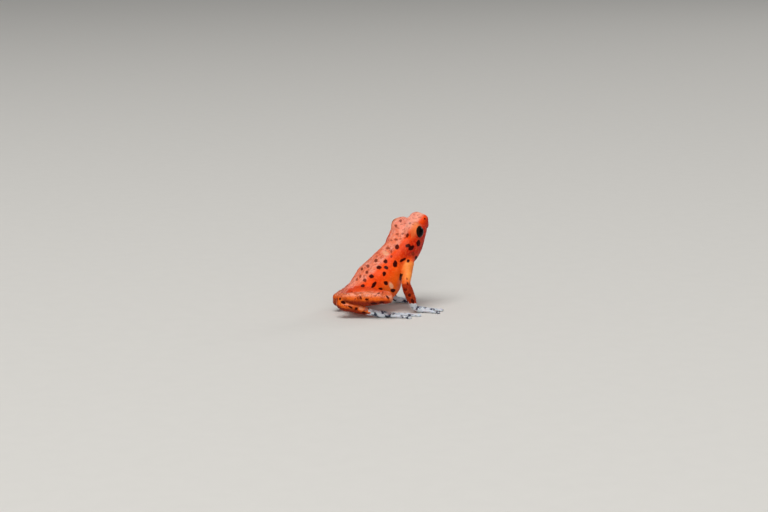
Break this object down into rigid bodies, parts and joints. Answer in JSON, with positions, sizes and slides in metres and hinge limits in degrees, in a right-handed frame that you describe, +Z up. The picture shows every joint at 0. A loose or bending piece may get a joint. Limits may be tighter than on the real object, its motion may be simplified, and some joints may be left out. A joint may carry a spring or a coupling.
{
  "type": "poison dart frog",
  "caption": "Small dart frog sitting upright at life size, with head raised, folded hind legs, straight forelegs, domed dark eyes and splayed disc-tipped toes that rest flat on the ground",
  "frame": {"origin": "on the ground under the middle of the bounding box", "axes": "+X runs from the vent towards the snout, +Y is the animal's left, +Z is up from the ground it sits on"},
  "size_m": [0.0188, 0.0168, 0.0149],
  "materials": {
    "skin": "moist orange-red skin with small dark spots, satin",
    "foot_skin": "moist grey skin with dark mottling, satin",
    "eye": "wet and glossy"
  },
  "bodies": {
    "root": {"eye_left": "eye", "eye_right": "eye", "foot_left": "foot_skin", "foot_right": "foot_skin", "forearm_left": "skin", "forearm_right": "skin", "hand_left": "foot_skin", "hand_right": "foot_skin", "head": "skin", "shank_left": "skin", "shank_right": "skin", "tarsus_left": "skin", "tarsus_right": "skin", "thigh_left": "skin", "thigh_right": "skin", "torso": "skin", "upper_arm_left": "skin", "upper_arm_right": "skin"}
  },
  "joints": []
}
